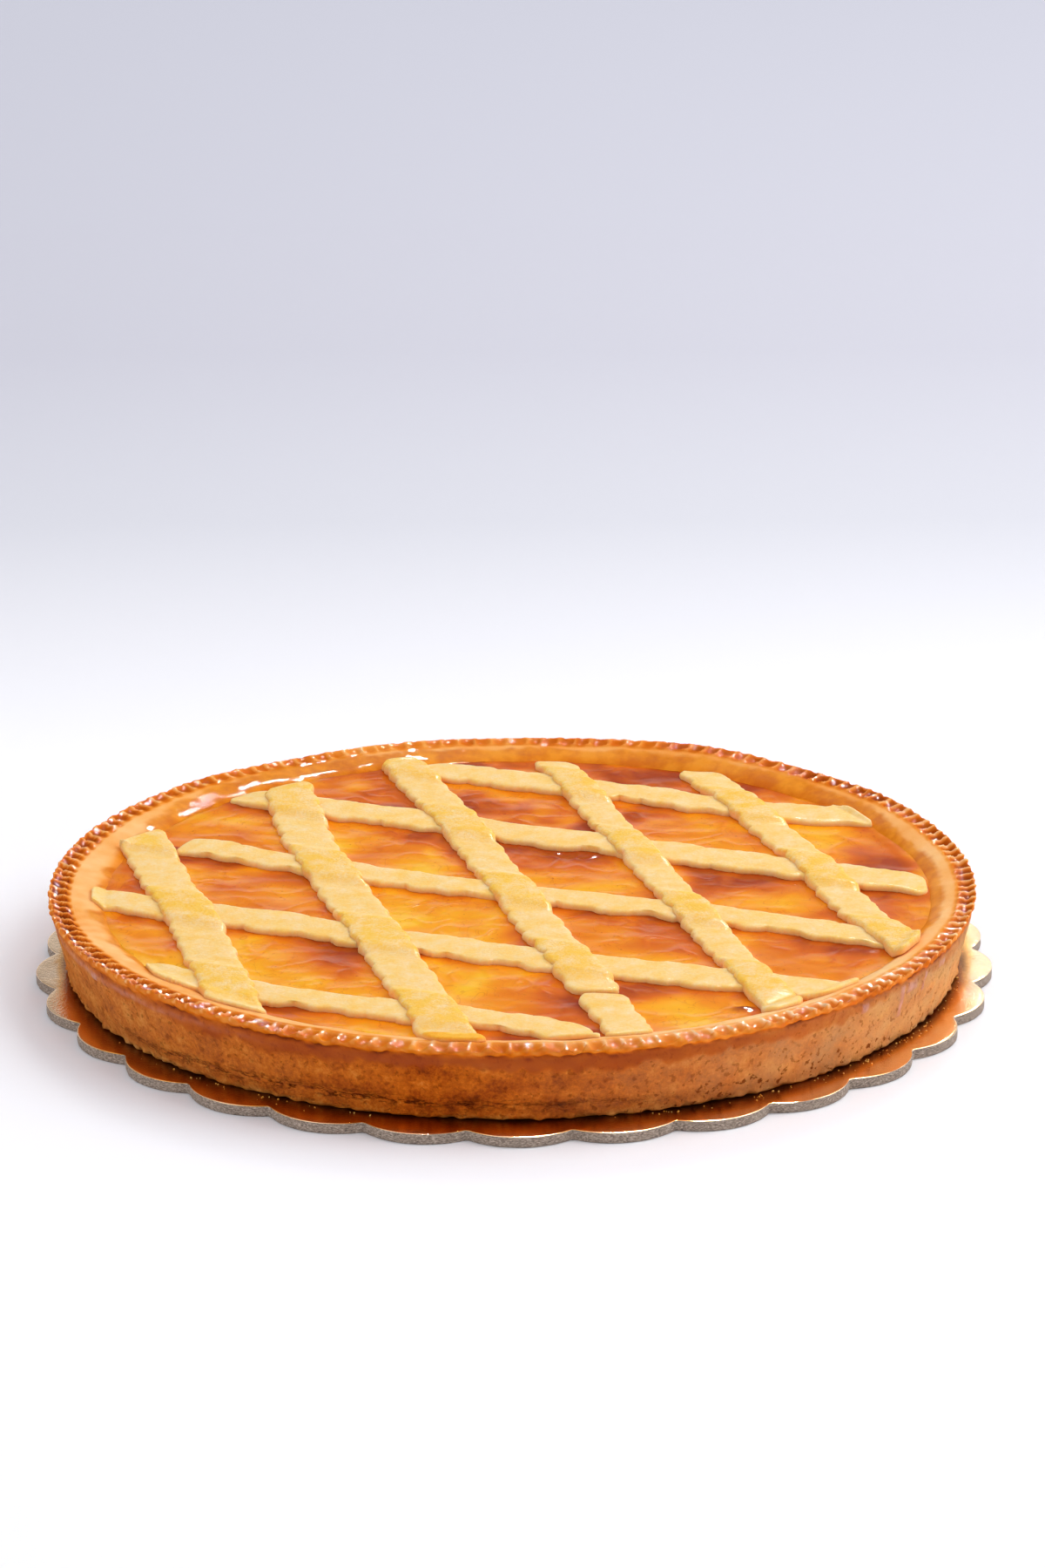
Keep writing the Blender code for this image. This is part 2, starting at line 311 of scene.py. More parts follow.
def make_gold_foil():
    """Metallised film laminated to board: a satin metal with a fine emboss, so that it mirrors the crust softly,
    darkened near the tart by a painted reflection and shade of the wall.
    """
    made, tree, shader, place = new_material("metallised_gold_film")
    speckle = grained(tree, place, 1.1, Detail=3, Roughness=0.65)
    waves = grained(tree, place, 14, Detail=2)
    shade = reading(tree, "shade")
    off_middle = reckoned(tree, "SUBTRACT", waves, 0.5)
    shaded = reckoned(tree, "MULTIPLY_ADD", off_middle, 0.4, shade)
    # Painted reflection and shade: the colour turns dark brown where the shade value is high, near the wall's foot.
    painted_wall_reflection = coloured(tree, shaded, (0, "#ffdcb0"), (0.25, "#f0b25e"), (0.55, "#ac6c16"), (1, "#421a02"))
    rough = ranged(tree, speckle, 0.3, 0.7, 0.12, 0.2)
    bump = bumped(tree, speckle, 0.00018, 0.6)
    plug(tree, shader, {"Base Color": painted_wall_reflection, "Metallic": 1, "Roughness": rough, "Normal": bump})
    return made


def make_grey_board():
    """Grey board cut with a die: matt layered fibres with pale and dark specks."""
    made, tree, shader, place = new_material("die_cut_grey_board")
    fibres = add_node(tree, "Mapping", {"Vector": place, "Scale": (1, 1, 3)}).outputs[0]
    specks = grained(tree, fibres, 0.8, Detail=4, Roughness=0.7)
    colour = coloured(tree, specks, (0.34, "#5a4e46"), (0.5, "#9c8a7a"), (0.66, "#d2c1b0"))
    bump = bumped(tree, specks, 0.00025, 0.8)
    plug(tree, shader, {"Base Color": colour, "Roughness": 0.85, "Normal": bump})
    return made


def make_card():
    card = shaped_sheet("gold_card", CARD_SCALLOPS * COLUMNS_PER_SCALLOP, len(CARD_ROWS) - 1, card_shape)
    card.data.materials.append(make_gold_foil())
    card.data.materials.append(make_grey_board())
    for face in card.data.polygons:
        face.material_index = int(face.center.z < FILM_EDGE * MM)
    card.data.set_sharp_from_angle(angle=math.radians(50))
    finish_piece(card, None, "gold_foil_card", "cake_card")


# --- crust ---


# The crust's profile, from the middle of the hollow's floor over the rim and down the wall to the middle of its
# underside: each ring's radius and height, the rows to the next one, and its share of the swells and the jam's shift.
CRUST_RINGS = (
    (0, 9.6, 1, 0, 1),
    (117, 9.6, 1, 0, 1),
    (120.6, 20.5, 1, 0, 1),
    (121.4, 22.3, 2, 0, 1),
    (122.6, 23.2, 3, 0.15, 0.85),
    (124.6, 24.15, 3, 0.4, 0.6),
    (127.5, 25.1, 4, 0.75, 0.25),
    (130.6, 25.9, 2, 1, 0),
    (131.6, 26.15, 9, 1, 0),
    (135.9, 26.75, 2, 1, 0),
    (136.5, 26.5, 2, 1, 0),
    (136.9, 26, 2, 1, 0),
    (137, 25.4, 2, 1, 0),
    (136.8, 24.8, 2, 0.9, 0),
    (136.3, 24.2, 2, 0.8, 0),
    (135.7, 23.7, 3, 0.6, 0),
    (135.45, 21, 28, 0.5, 0),
    (131.35, 4.8, 2, 0, 0),
    (131, 3.9, 1, 0, 0),
    (130.2, 3.4, 1, 0, 0),
    (126, 3.4, 1, 0, 0),
    (0, 3.4, 1, 0, 0),
)
CRUST_ROWS = sum(ring[2] for ring in CRUST_RINGS[:-1])
# Which ring lies along the jam's edge, on the rim's outer edge, where the rim is widest, and under its lip.
JAM_EDGE_RING, RIM_EDGE_RING, WIDEST_RING, UNDER_LIP_RING = 3, 9, 12, 15
# Small dents in the wall: angle in degrees, height, half width, half height and depth.
WALL_DENTS = (
    (-41, 17.9, 3, 2, 0.7),
    (-51, 17.6, 1.2, 0.9, 0.5),
    (-101.8, 18.6, 1.3, 1, 0.5),
    (-74.5, 18.6, 1.5, 1, 0.5),
)
# Drips of glaze on the wall: angle in degrees, lowest height, half width in mm.
GLAZE_DRIPS = (
    (-35.2, 12.5, 0.9),
    (-33, 19, 2.4),
    (-29.4, 16.5, 0.6),
    (-24.5, 20, 1.8),
    (-43, 19.5, 1.2),
    (-152, 20, 2.2),
)


def crust_shape(along, across):
    counts = np.cumsum([0] + [ring[2] for ring in CRUST_RINGS[:-1]])
    station = across * CRUST_ROWS
    radius, height, swell, shift = (
        np.interp(station, counts, [ring[i] for ring in CRUST_RINGS]) for i in (0, 1, 3, 4)
    )
    angle = 2 * math.pi * along
    turning = around(radius, angle, height)
    round_wall = turning * (1, 1, 0)
    is_outside = station > counts[RIM_EDGE_RING]
    rim_middle = around(BAND_MIDDLE, angle)

    # Crimps: oval scoops side by side, each a little different, with narrow ridges between them.
    left_side, right_side = near_angle(angle, 195, 75), near_angle(angle, -15, 70)
    phase = RIDGES * along + 0.26 * drift(rim_middle, 7, 11) + 0.12 * left_side * (radius - BAND_MIDDLE)
    across_scoop = np.abs(2 * (phase % 1) - 1)
    front_side, back_side = near_angle(angle, 275, 100), near_angle(angle, 90, 85)
    scoop_middle = BAND_MIDDLE + 0.5 * drift(rim_middle, 8, 12) + 1.1 * front_side
    oval = ((radius - scoop_middle) / 2.45) ** 2 + (across_scoop / 0.95) ** 2
    depth = 1.7 + 1.2 * drift(rim_middle, 6, 13) - 0.3 * left_side - 0.7 * back_side
    in_band = ease((radius - BAND_INNER) / 0.8) * ease((counts[WIDEST_RING] + 1 - station) / 3)
    scoop = np.clip(1 - oval, 0, 1) ** 0.6 * in_band
    beads = np.clip(1 - ((radius - 131.1) / 0.9) ** 2 - (across_scoop / 0.7) ** 2, 0, 1) ** 0.5
    beads *= (0.35 * left_side + 0.1) * (station < counts[RIM_EDGE_RING + 1])
    tooth = (1 - 2 * across_scoop**1.5) * ease((radius - 135.6) / 0.8) * (station < counts[UNDER_LIP_RING])
    height_out = height - depth * scoop - beads + rim_swell(angle) * swell
    # The lip stands out least on the right.
    bulge = is_outside * ease((height - 23.4) / 1.2) * ease((26.8 - height) / 1.2)
    radius_out = radius - 0.28 * tooth - (0.9 * right_side + 0.5 * left_side) * bulge

    # The lip's lower border is ragged, and the wall waves and has a sandy, broken skin.
    border = ease(1 - np.abs(height - 24) / 1.2) * is_outside
    height_out += border * 0.7 * drift(turning, 2.2, 14)
    wall = is_outside * ease((24 - height) / 1.5) * ease((height - 3.4) / 0.4)
    radius_out += wall * (0.5 * drift(turning, 26, 15) + 0.28 * drift(turning, 6, 16) + 0.16 * drift(turning, 1.6, 17))
    top_side = ~is_outside & (station > counts[JAM_EDGE_RING])
    height_out += top_side * (0.6 * drift(turning, 13, 18) + 0.08 * drift(turning, 4, 19)) * (1 - in_band)
    height_out += in_band * (0.24 + 0.16 * left_side + 0.12 * front_side) * drift(turning, 1.8, 20)
    ragged = 0.4 * drift(turning, 2.6, 42) + 0.3 * drift(turning, 1.3, 43)
    radius_out += is_outside * ease((height - 23.6) / 0.8) * ragged

    # Cracks that run round the wall low down, and small dents.
    crack_line = 8.4 + 1.6 * drift(round_wall, 17, 21)
    crack = np.exp(-(((height - crack_line) / 0.35) ** 2)) * ease(5 * drift(round_wall, 4, 22) - 0.2)
    crack *= near_angle(angle, 245, 60)
    second_line = 11.8 + 2.4 * drift(round_wall, 13, 23)
    broken = ease(6 * drift(round_wall, 3, 24) - 0.6)
    crack += 0.4 * near_angle(angle, 235, 45) * np.exp(-(((height - second_line) / 0.35) ** 2)) * broken
    radius_out -= wall * 0.45 * crack
    for middle, level, half_width, half_height, deep in WALL_DENTS:
        away = degrees_from(angle, middle) * MM_PER_DEGREE
        radius_out -= wall * deep * np.exp(-((away / half_width) ** 2) - ((height - level) / half_height) ** 2)

    # Glaze that ran over the rim: a band under the lip, with drips.
    level = 19.2 + 2.6 * drift(round_wall, 12, 25) + 1.6 * drift(round_wall, 3, 26)
    level += 3.5 * near_angle(angle, 90, 130) + 1.6 * near_angle(angle, -20, 45)
    glaze = ease((height - level) / 2 + 0.5)
    milky_and_highlight = np.zeros(len(angle))
    for middle, lowest, half_width in GLAZE_DRIPS:
        away = degrees_from(angle, middle) * MM_PER_DEGREE + 0.8 * drift(turning, 3, 34)
        drip = ease(1.6 - np.abs(away) / half_width) * ease((height - lowest) / 0.6)
        glaze = np.maximum(glaze, drip)
        milky_and_highlight = np.maximum(milky_and_highlight, drip * ease((23 - height) / 1.5))
    glaze *= wall * (0.2 + 0.8 * near_angle(angle, 265, 85))
    # On the left, a thin pale streak under the lip: dried glaze with a painted highlight on it.
    highlight_streak = np.exp(-(((height - 21.6 + 0.8 * drift(turning, 9, 41)) / 0.8) ** 2)) * near_angle(angle, 208, 38)
    milky_and_highlight = np.maximum(milky_and_highlight, 0.5 * highlight_streak)
    milky_and_highlight *= wall * (0.8 + 0.7 * drift(turning, 2, 35))
    radius_out += 0.2 * glaze + 0.15 * milky_and_highlight
    # A crease under the lip, where the dough was pressed down over the tin's edge.
    crease_line = 23.5 + 0.7 * drift(round_wall, 4, 36) + 0.4 * drift(round_wall, 1.6, 37)
    crease = is_outside * np.exp(-(((height - crease_line) / 0.45) ** 2)) * (0.7 + 0.9 * drift(round_wall, 7, 38))
    radius_out -= 0.3 * crease

    # The foot is ragged where the dough broke off along the tin's edge.
    foot = is_outside * ease((6.2 - height) / 2.4)
    radius_out += foot * (1.3 * drift(turning, 2.6, 27) + 0.6 * drift(turning, 8, 28)) * (height > 3.3)
    height_out += (height > 3.6) * foot * 0.5 * drift(turning, 2.2, 29)

    places = around(radius_out, angle, height_out)
    places[:, :2] += shift[:, None] * JAM_SHIFT + np.array(TART_CENTRE)

    # How dark each place is, from 0, pale dough, to 1, dark brown: mostly how dark it is baked, with painted shade and
    # light added in places.
    smooth_slope = 0.29 + 0.08 * near_angle(angle, 270, 60) + 0.12 * near_angle(angle, 60, 60)
    smooth_slope = smooth_slope + 0.2 * ease((125.5 - radius) / 4)
    bake_and_shade = np.where(top_side, smooth_slope + 0.22 * ease((radius - 129.5) / 2), 0.64)
    browned = (0.2 * left_side + 0.1 * near_angle(angle, -5, 70)) * in_band
    bake_and_shade = bake_and_shade + top_side * (browned - 0.14 * near_angle(angle, 285, 80))
    # Painted shade: the wall is darkened at the front, which faces away from the key light, and a little on the right
    # to tone down the key light there.
    painted_wall_shade = 0.05 * near_angle(angle, 255, 50) + 0.07 * near_angle(angle, 275, 50)
    bake_and_shade = bake_and_shade + wall * (painted_wall_shade + 0.04 * near_angle(angle, -10, 50))
    front_middle = near_angle(angle, 265, 55)
    # The scoops and beads are darker and the ridges paler: partly glaze pooled in the scoops, partly painted shade in
    # the scoops and painted light on the ridges.
    pits = scoop * (0.34 - 0.26 * back_side - 0.08 * left_side - 0.1 * front_middle) + 0.9 * beads
    paler = 0.4 - 0.08 * front_side - 0.3 * back_side - 0.14 * front_middle
    ridges = in_band * ease((across_scoop - 0.74) / 0.16) * paler
    ridges += in_band * (0.06 * front_middle + 0.04 * near_angle(angle, -55, 38))
    lip = is_outside * ease((height - 23.9) / 0.5) * (1 - 0.7 * right_side - 0.4 * left_side)
    bake_and_shade = bake_and_shade * (1 - lip) + lip * (0.62 - 0.1 * tooth)
    bake_and_shade = bake_and_shade + pits - ridges + 0.14 * drift(turning * (1, 1, 3), 18, 30)
    bake_and_shade = bake_and_shade + (0.12 - (0.08 - 0.06 * left_side) * top_side) * drift(turning, 4, 31)
    # Darker in the cracks, paler at the foot, and painted shade in the crease under the lip.
    bake_and_shade = bake_and_shade + 0.2 * crack * wall - 0.14 * foot + 0.4 * np.clip(crease, 0, 1)
    film_width = 2.2 + (1.8 + 2.4 * left_side) * drift(rim_middle, 11, 32)
    film_width = film_width + 6.5 * near_angle(angle, 128, 40) + 5 * near_angle(angle, 88, 45)
    film_width += 6 * near_angle(angle, 45, 35) + 2.5 * near_angle(angle, 0, 40)
    film_edge = 121.6 + film_width + 1.2 * drift(turning, 3, 33) + 3 * left_side * drift(turning, 7, 44)
    film = top_side * ease((film_edge - radius) / 2.2 + 0.5)
    # Jam glaze also lies in the crimps and on the lip at the front.
    film = np.maximum(film, 0.4 * in_band * front_middle + 0.4 * lip * front_side)
    # Pale flour on the wall and painted sheen of the light that grazes its sides, most of it on the right.
    flour_and_sheen = 0.75 * near_angle(angle, -20, 85) + 0.2 * near_angle(angle, 205, 70)
    flour_and_sheen *= wall * (1 - glaze) * np.clip(0.95 + 0.3 * drift(turning, 6, 39), 0, 1.2)
    # How thick the glaze lies: thin on the back of the rim, thick on its front and where jam crept up the slope.
    wet = 0.12 - 0.1 * wall * (1 - glaze) + 0.04 * film
    wet -= 0.14 * top_side * (1 - in_band) * near_angle(angle, 138, 27)
    crest = ease((across_scoop - 0.84) / 0.1) * near_angle(angle, 262, 120)
    in_crimps = 0.75 * crest - 0.06 * front_middle + 0.16 * near_angle(angle, -55, 38)
    in_crimps = in_crimps - 0.07 * back_side - 0.03 * left_side
    wet += in_band * in_crimps + lip * 0.1 * front_side
    values = {
        "bake_and_shade": bake_and_shade,
        "glaze": glaze,
        "milky_and_highlight": milky_and_highlight,
        "film": film,
        "wall": wall,
        "flour_and_sheen": flour_and_sheen,
        "wet": wet,
        "cracked": wall * near_angle(angle, 248, 62) * np.exp(-(((height - crack_line) / 1.5) ** 2)),
        "porous": wall * (0.45 + 0.55 * near_angle(angle, -48, 45) * ease((13 - height) / 5)),
    }
    return places, values


def make_baked_crust():
    """Sweet shortcrust baked brown and brushed with apricot glaze: a sandy, saturated brown under a thin gloss, with
    some painted shade, light and sheen in its colour.
    """
    made, tree, shader, place = new_material("glazed_sweet_shortcrust")
    bake_and_shade, glaze, milky_and_highlight, film, wall, flour_and_sheen, wet, porous, cracked = (
        reading(tree, name)
        for name in ("bake_and_shade", "glaze", "milky_and_highlight", "film", "wall", "flour_and_sheen", "wet", "porous", "cracked")
    )
    blotch = grained(tree, place, 7, Detail=3, Roughness=0.55)
    sand = grained(tree, place, 1.2, Detail=5, Roughness=0.68)
    holes = grained(tree, place, 1.9, Detail=2, Roughness=0.6)
    dull = reckoned(tree, "SUBTRACT", wall, glaze)
    grain = ranged(tree, dull, 0, 1, 0.14, 1)
    uneven = ranged(tree, dull, 0, 1, 0.35, 1)
    blotched = ranged(tree, blotch, 0.3, 0.7, -0.06, 0.06)
    sanded = ranged(tree, sand, 0.3, 0.7, -0.13, 0.13)
    mottled = reckoned(tree, "MULTIPLY_ADD", blotched, uneven, bake_and_shade)
    tone = reckoned(tree, "MULTIPLY_ADD", sanded, grain, mottled)
    baked = coloured(
        tree,
        tone,
        (0.05, "#ffdaa0"),
        (0.25, "#fdbd76"),
        (0.45, "#f29a3e"),
        (0.65, "#dc7014"),
        (0.85, "#b04c06"),
        (1, "#742a02"),
    )
    # Pale flour and painted sheen on the wall's sides.
    sheen_and_flour_colour = mixed(tree, flour_and_sheen, baked, "#cca674")
    hole = ranged(tree, holes, 0.58, 0.66, 0, 0.9)
    on_wall = reckoned(tree, "MULTIPLY", hole, porous)
    pitted = mixed(tree, on_wall, sheen_and_flour_colour, "#7c3408")
    # Thin cracks that run round the wall, where a noise that is stretched sideways crosses its middle value.
    sideways = add_node(tree, "Mapping", {"Vector": place, "Scale": (1, 1, 4)}).outputs[0]
    torn = grained(tree, sideways, 7, Detail=4, Roughness=0.65)
    off_middle = reckoned(tree, "SUBTRACT", torn, 0.52)
    distance = reckoned(tree, "ABSOLUTE", off_middle)
    line = ranged(tree, distance, 0, 0.04, 0.9, 0)
    crack = reckoned(tree, "MULTIPLY", line, cracked)
    split = mixed(tree, crack, pitted, "#4c1c04")
    part_glazed = reckoned(tree, "MULTIPLY", glaze, 0.68)
    glazed = mixed(tree, part_glazed, split, "#98421f")
    # Pale glaze drips, and the painted highlight of the streak on the left.
    part_milky_and_highlight = reckoned(tree, "MULTIPLY", milky_and_highlight, 0.5)
    clouded = mixed(tree, part_milky_and_highlight, glazed, "#dcb4b0")
    part_film = reckoned(tree, "MULTIPLY", film, 0.8)
    pooled = coloured(tree, blotch, (0.36, "#cc6408"), (0.5, "#dd7c0c"), (0.64, "#ec921c"))
    amber = mixed(tree, part_film, clouded, pooled)
    rough = ranged(tree, dull, 0, 1, 0.3, 0.7)
    pits = reckoned(tree, "MULTIPLY_ADD", on_wall, -0.8, sand)
    dug = reckoned(tree, "MULTIPLY_ADD", crack, -1, pits)
    bump = bumped(tree, dug, 0.0008, grain)
    plug(tree, shader, {"Base Color": amber, "Roughness": rough, "Specular IOR Level": 0, "Normal": bump})
    plug(tree, shader, {"Coat Weight": wet, "Coat Roughness": 0.055})
    plug(tree, shader, {"Subsurface Weight": 0.12, "Subsurface Radius": (1, 0.4, 0.12), "Subsurface Scale": 0.0015})
    return made


def make_crust():
    crust = shaped_sheet("baked_crust", COLUMNS_PER_CRIMP * RIDGES, CRUST_ROWS, crust_shape)
    finish_piece(crust, make_baked_crust(), "baked_crust", "crust_shell")


# --- lattice lines ---


class StripLine:
    """The middle line of a strip, from its start (0) to its end (1)."""

    def __init__(self, layout):
        start, end, bows, width = layout
        self.start = np.array(start, float)
        self.run = np.array(end, float) - self.start
        self.length = math.hypot(*self.run)
        self.left = np.array((-self.run[1], self.run[0])) / self.length
        self.bows = np.array((-bows[0], 0, *bows, 0, -bows[2]))
        self.half_width = width / 2

    def bow(self, share):
        """A smooth curve through the bows, which are a quarter of the way apart."""
        quarter = np.clip((share * 4).astype(int), 0, 3)
        u = share * 4 - quarter
        a, b, c, d = (self.bows[quarter + i] for i in range(4))
        square, cube = 2 * a - 5 * b + 4 * c - d, 3 * b - a - 3 * c + d
        return 0.5 * (2 * b + (c - a) * u + square * u**2 + cube * u**3)

    def at(self, share):
        return self.start + np.outer(share, self.run) + np.outer(self.bow(share), self.left)

    def heading(self, share):
        way = self.at(share + 0.01) - self.at(share - 0.01)
        return way / np.hypot(*way.T)[:, None]

    def end_share(self, share, length):
        """1 at the start or the end, 0 from that length in from it."""
        return ease(1 - share * self.length / length), ease(1 - (1 - share) * self.length / length)

    def beside(self, points):
        """How far points are to the left of the line, measured square to its run, and how far beyond its ends."""
        share = (points - self.start) @ self.run / self.length**2
        beyond = np.maximum(np.maximum(-share, share - 1), 0) * self.length - self.half_width / 2
        return (points - self.start) @ self.left - self.bow(share), np.maximum(beyond, 0)

    def away(self, points):
        return np.hypot(*self.beside(points))


LOWER = {name: StripLine(layout) for name, layout in LOWER_STRIPS.items()}
UPPER = {name: StripLine(layout) for name, layout in UPPER_STRIPS.items()}
BROKEN = StripLine(BROKEN_END)


def bed_height(points):
    """The top of what the lattice lies on: the jam, then the shell's slope up to its crimped band."""
    radius = np.hypot(*points.T)
    angle = np.arctan2(points[:, 1], points[:, 0])
    toward = JAM_SHIFT[0] * np.cos(angle) + JAM_SHIFT[1] * np.sin(angle)
    swell = rim_swell(angle)
    inner, slope, band = JAM_RADIUS + toward, 126 + 0.4 * toward, BAND_INNER
    slope_height, band_height = RIM_TOP - 1.9 + 0.6 * swell, RIM_TOP - 0.7 + swell
    low = JAM_TOP + (slope_height - JAM_TOP) * (radius - inner) / (slope - inner)
    high = slope_height + (band_height - slope_height) * (radius - slope) / (band - slope)
    return np.where(radius <= inner, JAM_TOP, np.where(radius < slope, low, high))


# --- loose crumbs ---


CRUMBS = 110
CRUMB_SIZES = (0.12, 0.3)
# The least, greatest and likeliest angle of three crumbs in four, and of the fourth.
CRUMB_ANGLES = (-85, 5, -40)
LEFT_CRUMB_ANGLES = (-150, -100, -125)
# How near the middle a crumb can lie, and how far out they are scattered.
CRUMB_RADIUS = 131.8
CRUMB_SCATTER = 1.6


def make_toasted_crumb():
    """Crumbs off the baked crust: dry, golden and matt, each one a little different."""
    made, tree, shader, place = new_material("toasted_crumb")
    shades = grained(tree, place, 3, Detail=1)
    colour = coloured(tree, shades, (0.35, "#d88014"), (0.5, "#f4a42c"), (0.65, "#fcc864"))
    grain = grained(tree, place, 0.3, Detail=2)
    bump = bumped(tree, grain, 0.0001, 0.6)
    plug(tree, shader, {"Base Color": colour, "Roughness": 0.6, "Normal": bump})
    return made


def make_crumbs():
    """Crumbs that fell on the card along the foot of the wall, most of them on the right."""
    chance = random.Random(5)
    bpy.ops.object.select_all(action="DESELECT")
    for number in range(CRUMBS):
        angle = math.radians(chance.triangular(*(CRUMB_ANGLES if number % 4 else LEFT_CRUMB_ANGLES)))
        size = chance.uniform(*CRUMB_SIZES) * (1.3 if number % 9 == 0 else 1)
        radius = CRUMB_RADIUS + abs(chance.gauss(0, CRUMB_SCATTER))
        x, y = TART_CENTRE[0] + radius * math.cos(angle), TART_CENTRE[1] + radius * math.sin(angle)
        middle = (x, y, CARD_THICKNESS + 0.5 * size)
        stretch = [size * chance.uniform(0.7, 1.3) for _ in range(3)]
        bpy.ops.mesh.primitive_ico_sphere_add(
            subdivisions=1,
            radius=MM,
            location=[MM * c for c in middle],
            rotation=(angle, 2 * angle, 3 * angle),
            scale=stretch,
        )
        if number == 0:
            crumbs = bpy.context.object
            crumbs.name = crumbs.data.name = "loose_crumbs"
            bpy.ops.object.transform_apply(location=True, rotation=True, scale=True)
            bpy.ops.object.mode_set(mode="EDIT")
    bpy.ops.object.mode_set(mode="OBJECT")
    finish_piece(crumbs, make_toasted_crumb(), "baked_crust")


# --- jam ---


JAM_COLUMNS = 640
JAM_TOP_ROWS = 118
JAM_SIDE_ROWS = 3
# Pieces of fruit under the skin of the jam: place, half length, half width, and how far they stand up.
FRUIT_PIECES = (
    (63.8, -97.1, 3.4, 1.9, 0.9),
    (-28, -57, 1.6, 0.9, 0.35),
    (30, -70, 1.5, 0.8, 0.3),
    (44, -52, 1.7, 0.8, 0.12),
    (-62, 4, 1.5, 0.9, 0.3),
    (12, 36, 1.6, 0.9, 0.3),
    (-84, -32, 1.4, 0.8, 0.3),
    (86, 22, 1.6, 0.8, 0.1),
    (38, 78, 1.4, 0.8, 0.3),
    (-8, -12, 1.3, 0.7, 0.3),
)


def jam_shape(along, across):
    angle = 2 * math.pi * along
    # Shares of the radius, packed closer near the edge, then down the side and back along the floor.
    row = across * (JAM_TOP_ROWS + JAM_SIDE_ROWS)
    edge = 123 + 0.5 * drift(around(120, angle), 10, 40)
    share = np.clip(row / JAM_TOP_ROWS, 0, 1)
    radius = edge * share**0.85
    down = row - JAM_TOP_ROWS
    is_side = down > 0.5
    radius = np.where(is_side, np.where(down > 2.5, 0, np.where(down > 1.5, 116.5, 119.5)), radius)
    flat = around(radius, angle)
    points = flat[:, :2]
    long_ways = flat * (0.55, 1, 1)
    relief = 0.42 * drift(flat, 18, 42) + 0.17 * drift(long_ways, 5.5, 43) + 0.05 * drift(long_ways, 2.2, 44)
    warped = flat + np.stack((drift(flat, 9, 45), drift(flat, 9, 46), 0 * angle), 1) * 5
    wrinkle = np.clip(1 - 7 * np.abs(drift(warped, 9, 47)), 0, 1) * ease(2.5 * drift(flat, 15, 48) + 0.5)
    relief += 0.28 * wrinkle
    fruit = np.zeros(len(flat))
    for x, y, half_length, half_width, rise in FRUIT_PIECES:
        away = (((points - (x, y)) / (half_length, half_width)) ** 2).sum(1)
        fruit = np.maximum(fruit, np.exp(-(away**1.5)) * rise)
    relief = relief * (1 - 0.45 * near_angle(angle, 0, 60)) + fruit
    on_tart = points + np.array(JAM_SHIFT)
    strips = [*LOWER.values(), *UPPER.values(), BROKEN]
    nearest = np.min([line.away(on_tart) - line.half_width for line in strips], 0)
    # Painted shade: the jam is darkened in front of each strip and beside the strips' left sides, where they shade it
    # and hide its sheen, and towards the back and far right.
    painted_jam_shade = 0.45 * near_angle(angle, 20, 75) * ease((radius - 60) / 45)
    painted_jam_shade = np.maximum(painted_jam_shade, 0.95 * near_angle(angle, 85, 80) * ease((radius - 20) / 60))
    for line in strips:
        is_lower = line in LOWER.values()
        across_line, beyond = line.beside(on_tart)
        gap = np.hypot(np.maximum(-across_line - line.half_width, 0), beyond)
        reach, most = (10, 0.9) if is_lower else (7, 0.55)
        painted_jam_shade = np.maximum(painted_jam_shade, most * np.exp(-gap / reach) * (across_line < 0))
    painted_jam_shade *= 0.9 + 0.7 * drift(flat, 9, 49)
    climb = 0.2 * np.exp(-np.clip(nearest, 0, None) / 1.1)
    height = JAM_TOP + relief * ease((124 - radius) / 5) * ease(nearest / 4 + 0.35) + climb
    height += 0.25 * ease((radius - 117) / 4)
    height = np.where(is_side, np.where(down > 1.5, 10, 19), height)
    places = np.stack((flat[:, 0] + JAM_SHIFT[0], flat[:, 1] + JAM_SHIFT[1], height), 1)
    places[:, :2] += np.array(TART_CENTRE)
    return places, {"painted_jam_shade": painted_jam_shade, "wrinkle": wrinkle, "fruit": fruit}


